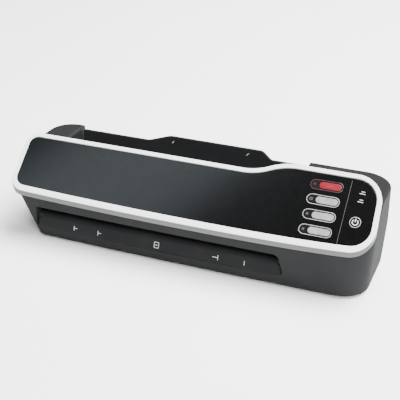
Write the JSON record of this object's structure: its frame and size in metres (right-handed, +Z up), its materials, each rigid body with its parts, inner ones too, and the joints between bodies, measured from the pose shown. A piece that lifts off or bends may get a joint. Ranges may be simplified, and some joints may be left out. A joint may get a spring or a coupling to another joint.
{
  "type": "pouch laminator",
  "caption": "Desktop pouch laminator: wedge body with a tilted gloss key panel in a pale frame, front entry slot, coupled heat and pull rollers, and a folding rear exit tray.",
  "frame": {"origin": "under the middle of the bounding box, on the surface the feet stand on", "axes": "+X to the right seen from the front, along the rollers; +Y from the entry slot to the exit tray; +Z up"},
  "size_m": [0.4293, 0.1237, 0.1182],
  "materials": {
    "charcoal_shell": "satin charcoal, fine moulded grain",
    "base_grey": "matte",
    "white_trim": "silver-white satin lacquer",
    "gloss_panel": "polished black",
    "key_black": "semi-gloss black",
    "red_light": "translucent, lit red",
    "milky_light": "translucent milky, unlit",
    "dark_rubber": "matte",
    "silicone": "smooth",
    "steel": "brushed",
    "aluminium": "mill",
    "nylon": "natural nylon",
    "circuit_board": "solder mask",
    "brass": "plated"
  },
  "bodies": {
    "case": {"base_plate": "base_grey", "front_cover": "charcoal_shell", "rear_cover": "charcoal_shell", "trim_frame": "white_trim", "top_panel": "gloss_panel", "foot_front_left": "dark_rubber", "foot_front_right": "dark_rubber", "foot_rear_left": "dark_rubber", "foot_rear_right": "dark_rubber", "indicator_lens_1": "milky_light", "indicator_lens_2": "milky_light", "side_plate_left": "steel", "side_plate_right": "steel", "tie_bar_low": "steel", "tie_bar_high": "steel", "bearing_hot_left": "nylon", "bearing_hot_right": "nylon", "bearing_pull_left": "nylon", "bearing_pull_right": "nylon", "heater_shoe_upper": "aluminium", "heater_shoe_lower": "aluminium", "thermostat": "steel", "gearbox": "base_grey", "drive_motor": "steel", "control_board": "circuit_board", "main_board": "circuit_board", "power_inlet": "base_grey", "inlet_pin_left": "brass", "inlet_pin_right": "brass"},
    "mode_button_1": {"mode_key_1": "key_black", "light_window_1": "red_light"},
    "mode_button_2": {"mode_key_2": "key_black", "light_window_2": "milky_light"},
    "mode_button_3": {"mode_key_3": "key_black", "light_window_3": "milky_light"},
    "mode_button_4": {"mode_key_4": "key_black", "light_window_4": "milky_light"},
    "power_button": {"power_key": "key_black"},
    "tray": {"exit_tray": "charcoal_shell", "hinge_pin_left": "steel", "hinge_pin_right": "steel"},
    "hot_roller_lower": {"sleeve_hot_lower": "silicone", "shaft_hot_lower": "steel", "gear_hot_lower": "nylon"},
    "hot_roller_upper": {"sleeve_hot_upper": "silicone", "shaft_hot_upper": "steel", "gear_hot_upper": "nylon"},
    "pull_roller_lower": {"sleeve_pull_lower": "silicone", "shaft_pull_lower": "steel", "gear_pull_lower": "nylon"},
    "pull_roller_upper": {"sleeve_pull_upper": "silicone", "shaft_pull_upper": "steel", "gear_pull_upper": "nylon"},
    "motor_pinion": {"motor_gear": "nylon", "output_shaft": "steel"}
  },
  "joints": [
    {"name": "mode_press_1", "type": "slide", "parent": "case", "child": "mode_button_1", "axis": [0, 0.6626, -0.749], "range_m": [0, 0.0008], "stiffness_N_per_m": 800},
    {"name": "mode_press_2", "type": "slide", "parent": "case", "child": "mode_button_2", "axis": [0, 0.6626, -0.749], "range_m": [0, 0.0008], "stiffness_N_per_m": 800},
    {"name": "mode_press_3", "type": "slide", "parent": "case", "child": "mode_button_3", "axis": [0, 0.6626, -0.749], "range_m": [0, 0.0008], "stiffness_N_per_m": 800},
    {"name": "mode_press_4", "type": "slide", "parent": "case", "child": "mode_button_4", "axis": [0, 0.6626, -0.749], "range_m": [0, 0.0008], "stiffness_N_per_m": 800},
    {"name": "power_press", "type": "slide", "parent": "case", "child": "power_button", "axis": [0, 0.6626, -0.749], "range_m": [0, 0.0008], "stiffness_N_per_m": 800},
    {"name": "tray_fold", "type": "hinge", "parent": "case", "child": "tray", "pos_m": [-0.0274, 0.05685, 0.0505], "axis": [-1, 0, 0], "range_deg": [0, 78]},
    {"name": "hot_lower_spin", "type": "hinge", "parent": "case", "child": "hot_roller_lower", "pos_m": [-0.0274, -0.02362, 0.0262], "axis": [1, 0, 0], "continuous": true},
    {"name": "hot_upper_spin", "type": "hinge", "parent": "case", "child": "hot_roller_upper", "pos_m": [-0.0274, -0.02868, 0.04997], "axis": [1, 0, 0], "continuous": true},
    {"name": "pull_lower_spin", "type": "hinge", "parent": "case", "child": "pull_roller_lower", "pos_m": [-0.0274, 0.00638, 0.03258], "axis": [1, 0, 0], "continuous": true},
    {"name": "pull_upper_spin", "type": "hinge", "parent": "case", "child": "pull_roller_upper", "pos_m": [-0.0274, 0.00132, 0.05635], "axis": [1, 0, 0], "continuous": true},
    {"name": "motor_spin", "type": "hinge", "parent": "case", "child": "motor_pinion", "pos_m": [0.1106, -0.00633, 0.01859], "axis": [1, 0, 0], "continuous": true}
  ],
  "couplings": [
    {"joint": "hot_upper_spin", "follows": "hot_lower_spin", "ratio": -1},
    {"joint": "pull_lower_spin", "follows": "hot_lower_spin", "ratio": 1},
    {"joint": "pull_upper_spin", "follows": "hot_lower_spin", "ratio": -1},
    {"joint": "motor_spin", "follows": "hot_lower_spin", "ratio": -1.8}
  ]
}
